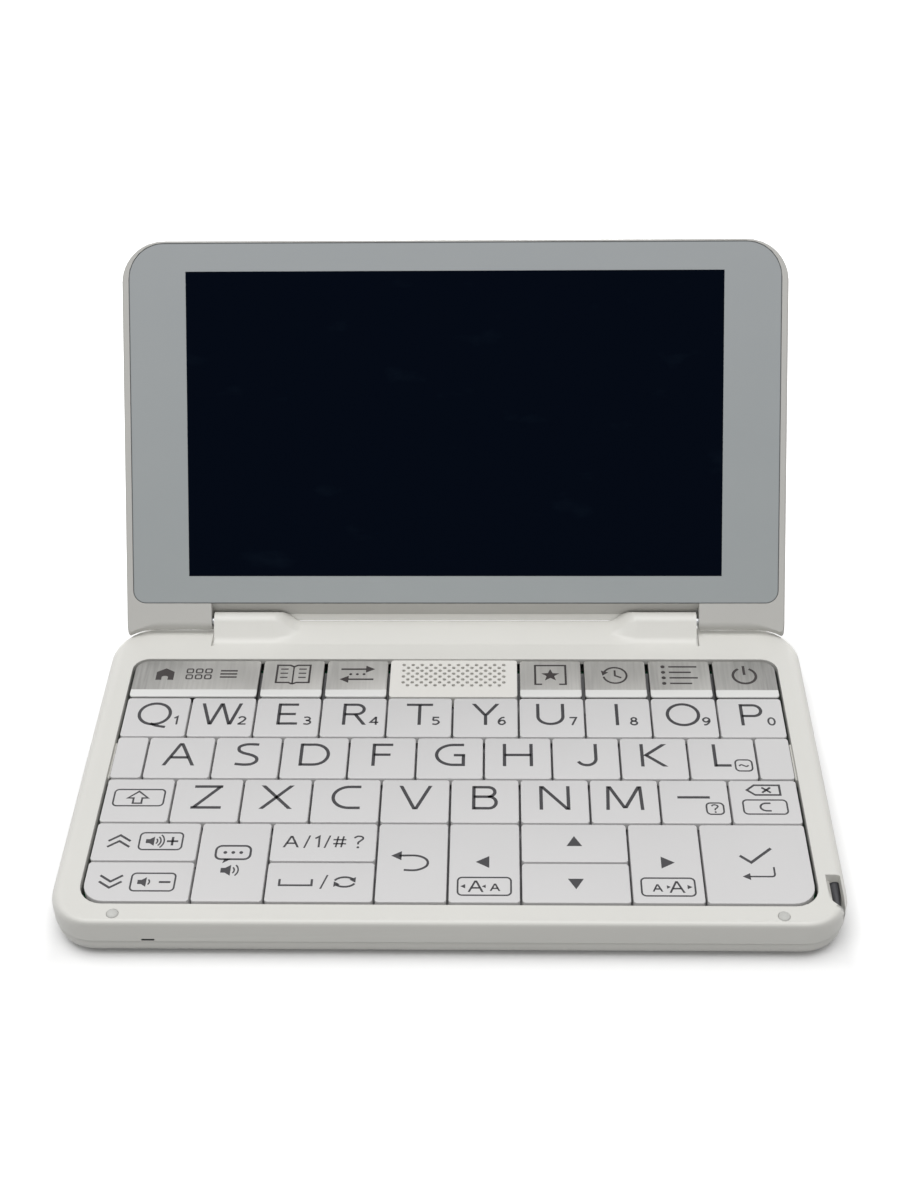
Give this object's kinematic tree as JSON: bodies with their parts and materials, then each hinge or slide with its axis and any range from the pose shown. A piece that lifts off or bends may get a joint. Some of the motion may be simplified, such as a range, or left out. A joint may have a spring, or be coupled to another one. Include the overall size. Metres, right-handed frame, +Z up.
{
  "type": "electronic dictionary",
  "caption": "Clamshell pocket electronic dictionary with a letter keyboard, speaker panel, hinged lid with a flush glass-fronted screen, and a stylus that slides out of the base.",
  "frame": {"origin": "on the surface the feet stand on, under the centre of the bounding box of the open dictionary", "axes": "+X to the user's right, along the hinge axis and the longest side; +Y from the user towards the hinge; +Z up"},
  "size_m": [0.1566, 0.139, 0.0852],
  "materials": {
    "case_plastic": "satin warm white moulded plastic",
    "lid_plastic": "satin warm white moulded plastic",
    "key_plastic": "satin white plastic with printed legends",
    "silver_key": "silver paint on plastic, clear white front edge",
    "key_rubber": "dark grey silicone",
    "circuit_board": "green solder resist",
    "battery_wrap": "dark film wrap",
    "pad_rubber": "soft light grey rubber",
    "steel": "machined steel",
    "stylus_plastic": "satin dark grey plastic",
    "cover_glass": "clear cover glass with a grey printed border behind it",
    "screen_black": "dark blank display"
  },
  "bodies": {
    "base": {"lower_case": "case_plastic", "upper_case": "case_plastic", "key_sheet": "key_rubber", "main_board": "circuit_board", "battery": "battery_wrap", "rubber_pads": "pad_rubber", "case_screws": "steel"},
    "lid": {"lid_bezel": "lid_plastic", "lid_back": "lid_plastic", "cover_glass": "cover_glass", "lcd_module": "screen_black", "hinge_shafts": "steel"},
    "stylus": {"stylus": "stylus_plastic"},
    "key_home": {"key_home": "silver_key"},
    "key_dict_a": {"key_dict_a": "silver_key"},
    "key_dict_b": {"key_dict_b": "silver_key"},
    "key_my": {"key_my": "silver_key"},
    "key_history": {"key_history": "silver_key"},
    "key_list": {"key_list": "silver_key"},
    "key_power": {"key_power": "silver_key"},
    "key_q": {"key_q": "key_plastic"},
    "key_w": {"key_w": "key_plastic"},
    "key_e": {"key_e": "key_plastic"},
    "key_r": {"key_r": "key_plastic"},
    "key_t": {"key_t": "key_plastic"},
    "key_y": {"key_y": "key_plastic"},
    "key_u": {"key_u": "key_plastic"},
    "key_i": {"key_i": "key_plastic"},
    "key_o": {"key_o": "key_plastic"},
    "key_p": {"key_p": "key_plastic"},
    "key_a": {"key_a": "key_plastic"},
    "key_s": {"key_s": "key_plastic"},
    "key_d": {"key_d": "key_plastic"},
    "key_f": {"key_f": "key_plastic"},
    "key_g": {"key_g": "key_plastic"},
    "key_h": {"key_h": "key_plastic"},
    "key_j": {"key_j": "key_plastic"},
    "key_k": {"key_k": "key_plastic"},
    "key_l": {"key_l": "key_plastic"},
    "key_shift": {"key_shift": "key_plastic"},
    "key_z": {"key_z": "key_plastic"},
    "key_x": {"key_x": "key_plastic"},
    "key_c": {"key_c": "key_plastic"},
    "key_v": {"key_v": "key_plastic"},
    "key_b": {"key_b": "key_plastic"},
    "key_n": {"key_n": "key_plastic"},
    "key_m": {"key_m": "key_plastic"},
    "key_dash": {"key_dash": "key_plastic"},
    "key_delete": {"key_delete": "key_plastic"},
    "key_page_up": {"key_page_up": "key_plastic"},
    "key_page_down": {"key_page_down": "key_plastic"},
    "key_voice": {"key_voice": "key_plastic"},
    "key_mode": {"key_mode": "key_plastic"},
    "key_space": {"key_space": "key_plastic"},
    "key_back": {"key_back": "key_plastic"},
    "key_left": {"key_left": "key_plastic"},
    "key_up": {"key_up": "key_plastic"},
    "key_down": {"key_down": "key_plastic"},
    "key_right": {"key_right": "key_plastic"},
    "key_enter": {"key_enter": "key_plastic"}
  },
  "joints": [
    {"name": "lid_hinge", "type": "hinge", "parent": "base", "child": "lid", "pos_m": [0, 0.01804, 0.01339], "axis": [1, 0, 0], "range_deg": [-15, 125]},
    {"name": "stylus_slide", "type": "slide", "parent": "base", "child": "stylus", "axis": [0, 1, 0], "range_m": [0, 0.075]},
    {"name": "key_home_press", "type": "slide", "parent": "base", "child": "key_home", "axis": [0, 0, -1], "range_m": [0, 0.0008], "stiffness_N_per_m": 900},
    {"name": "key_dict_a_press", "type": "slide", "parent": "base", "child": "key_dict_a", "axis": [0, 0, -1], "range_m": [0, 0.0008], "stiffness_N_per_m": 900},
    {"name": "key_dict_b_press", "type": "slide", "parent": "base", "child": "key_dict_b", "axis": [0, 0, -1], "range_m": [0, 0.0008], "stiffness_N_per_m": 900},
    {"name": "key_my_press", "type": "slide", "parent": "base", "child": "key_my", "axis": [0, 0, -1], "range_m": [0, 0.0008], "stiffness_N_per_m": 900},
    {"name": "key_history_press", "type": "slide", "parent": "base", "child": "key_history", "axis": [0, 0, -1], "range_m": [0, 0.0008], "stiffness_N_per_m": 900},
    {"name": "key_list_press", "type": "slide", "parent": "base", "child": "key_list", "axis": [0, 0, -1], "range_m": [0, 0.0008], "stiffness_N_per_m": 900},
    {"name": "key_power_press", "type": "slide", "parent": "base", "child": "key_power", "axis": [0, 0, -1], "range_m": [0, 0.0008], "stiffness_N_per_m": 900},
    {"name": "key_q_press", "type": "slide", "parent": "base", "child": "key_q", "axis": [0, 0, -1], "range_m": [0, 0.0008], "stiffness_N_per_m": 900},
    {"name": "key_w_press", "type": "slide", "parent": "base", "child": "key_w", "axis": [0, 0, -1], "range_m": [0, 0.0008], "stiffness_N_per_m": 900},
    {"name": "key_e_press", "type": "slide", "parent": "base", "child": "key_e", "axis": [0, 0, -1], "range_m": [0, 0.0008], "stiffness_N_per_m": 900},
    {"name": "key_r_press", "type": "slide", "parent": "base", "child": "key_r", "axis": [0, 0, -1], "range_m": [0, 0.0008], "stiffness_N_per_m": 900},
    {"name": "key_t_press", "type": "slide", "parent": "base", "child": "key_t", "axis": [0, 0, -1], "range_m": [0, 0.0008], "stiffness_N_per_m": 900},
    {"name": "key_y_press", "type": "slide", "parent": "base", "child": "key_y", "axis": [0, 0, -1], "range_m": [0, 0.0008], "stiffness_N_per_m": 900},
    {"name": "key_u_press", "type": "slide", "parent": "base", "child": "key_u", "axis": [0, 0, -1], "range_m": [0, 0.0008], "stiffness_N_per_m": 900},
    {"name": "key_i_press", "type": "slide", "parent": "base", "child": "key_i", "axis": [0, 0, -1], "range_m": [0, 0.0008], "stiffness_N_per_m": 900},
    {"name": "key_o_press", "type": "slide", "parent": "base", "child": "key_o", "axis": [0, 0, -1], "range_m": [0, 0.0008], "stiffness_N_per_m": 900},
    {"name": "key_p_press", "type": "slide", "parent": "base", "child": "key_p", "axis": [0, 0, -1], "range_m": [0, 0.0008], "stiffness_N_per_m": 900},
    {"name": "key_a_press", "type": "slide", "parent": "base", "child": "key_a", "axis": [0, 0, -1], "range_m": [0, 0.0008], "stiffness_N_per_m": 900},
    {"name": "key_s_press", "type": "slide", "parent": "base", "child": "key_s", "axis": [0, 0, -1], "range_m": [0, 0.0008], "stiffness_N_per_m": 900},
    {"name": "key_d_press", "type": "slide", "parent": "base", "child": "key_d", "axis": [0, 0, -1], "range_m": [0, 0.0008], "stiffness_N_per_m": 900},
    {"name": "key_f_press", "type": "slide", "parent": "base", "child": "key_f", "axis": [0, 0, -1], "range_m": [0, 0.0008], "stiffness_N_per_m": 900},
    {"name": "key_g_press", "type": "slide", "parent": "base", "child": "key_g", "axis": [0, 0, -1], "range_m": [0, 0.0008], "stiffness_N_per_m": 900},
    {"name": "key_h_press", "type": "slide", "parent": "base", "child": "key_h", "axis": [0, 0, -1], "range_m": [0, 0.0008], "stiffness_N_per_m": 900},
    {"name": "key_j_press", "type": "slide", "parent": "base", "child": "key_j", "axis": [0, 0, -1], "range_m": [0, 0.0008], "stiffness_N_per_m": 900},
    {"name": "key_k_press", "type": "slide", "parent": "base", "child": "key_k", "axis": [0, 0, -1], "range_m": [0, 0.0008], "stiffness_N_per_m": 900},
    {"name": "key_l_press", "type": "slide", "parent": "base", "child": "key_l", "axis": [0, 0, -1], "range_m": [0, 0.0008], "stiffness_N_per_m": 900},
    {"name": "key_shift_press", "type": "slide", "parent": "base", "child": "key_shift", "axis": [0, 0, -1], "range_m": [0, 0.0008], "stiffness_N_per_m": 900},
    {"name": "key_z_press", "type": "slide", "parent": "base", "child": "key_z", "axis": [0, 0, -1], "range_m": [0, 0.0008], "stiffness_N_per_m": 900},
    {"name": "key_x_press", "type": "slide", "parent": "base", "child": "key_x", "axis": [0, 0, -1], "range_m": [0, 0.0008], "stiffness_N_per_m": 900},
    {"name": "key_c_press", "type": "slide", "parent": "base", "child": "key_c", "axis": [0, 0, -1], "range_m": [0, 0.0008], "stiffness_N_per_m": 900},
    {"name": "key_v_press", "type": "slide", "parent": "base", "child": "key_v", "axis": [0, 0, -1], "range_m": [0, 0.0008], "stiffness_N_per_m": 900},
    {"name": "key_b_press", "type": "slide", "parent": "base", "child": "key_b", "axis": [0, 0, -1], "range_m": [0, 0.0008], "stiffness_N_per_m": 900},
    {"name": "key_n_press", "type": "slide", "parent": "base", "child": "key_n", "axis": [0, 0, -1], "range_m": [0, 0.0008], "stiffness_N_per_m": 900},
    {"name": "key_m_press", "type": "slide", "parent": "base", "child": "key_m", "axis": [0, 0, -1], "range_m": [0, 0.0008], "stiffness_N_per_m": 900},
    {"name": "key_dash_press", "type": "slide", "parent": "base", "child": "key_dash", "axis": [0, 0, -1], "range_m": [0, 0.0008], "stiffness_N_per_m": 900},
    {"name": "key_delete_press", "type": "slide", "parent": "base", "child": "key_delete", "axis": [0, 0, -1], "range_m": [0, 0.0008], "stiffness_N_per_m": 900},
    {"name": "key_page_up_press", "type": "slide", "parent": "base", "child": "key_page_up", "axis": [0, 0, -1], "range_m": [0, 0.0008], "stiffness_N_per_m": 900},
    {"name": "key_page_down_press", "type": "slide", "parent": "base", "child": "key_page_down", "axis": [0, 0, -1], "range_m": [0, 0.0008], "stiffness_N_per_m": 900},
    {"name": "key_voice_press", "type": "slide", "parent": "base", "child": "key_voice", "axis": [0, 0, -1], "range_m": [0, 0.0008], "stiffness_N_per_m": 900},
    {"name": "key_mode_press", "type": "slide", "parent": "base", "child": "key_mode", "axis": [0, 0, -1], "range_m": [0, 0.0008], "stiffness_N_per_m": 900},
    {"name": "key_space_press", "type": "slide", "parent": "base", "child": "key_space", "axis": [0, 0, -1], "range_m": [0, 0.0008], "stiffness_N_per_m": 900},
    {"name": "key_back_press", "type": "slide", "parent": "base", "child": "key_back", "axis": [0, 0, -1], "range_m": [0, 0.0008], "stiffness_N_per_m": 900},
    {"name": "key_left_press", "type": "slide", "parent": "base", "child": "key_left", "axis": [0, 0, -1], "range_m": [0, 0.0008], "stiffness_N_per_m": 900},
    {"name": "key_up_press", "type": "slide", "parent": "base", "child": "key_up", "axis": [0, 0, -1], "range_m": [0, 0.0008], "stiffness_N_per_m": 900},
    {"name": "key_down_press", "type": "slide", "parent": "base", "child": "key_down", "axis": [0, 0, -1], "range_m": [0, 0.0008], "stiffness_N_per_m": 900},
    {"name": "key_right_press", "type": "slide", "parent": "base", "child": "key_right", "axis": [0, 0, -1], "range_m": [0, 0.0008], "stiffness_N_per_m": 900},
    {"name": "key_enter_press", "type": "slide", "parent": "base", "child": "key_enter", "axis": [0, 0, -1], "range_m": [0, 0.0008], "stiffness_N_per_m": 900}
  ]
}
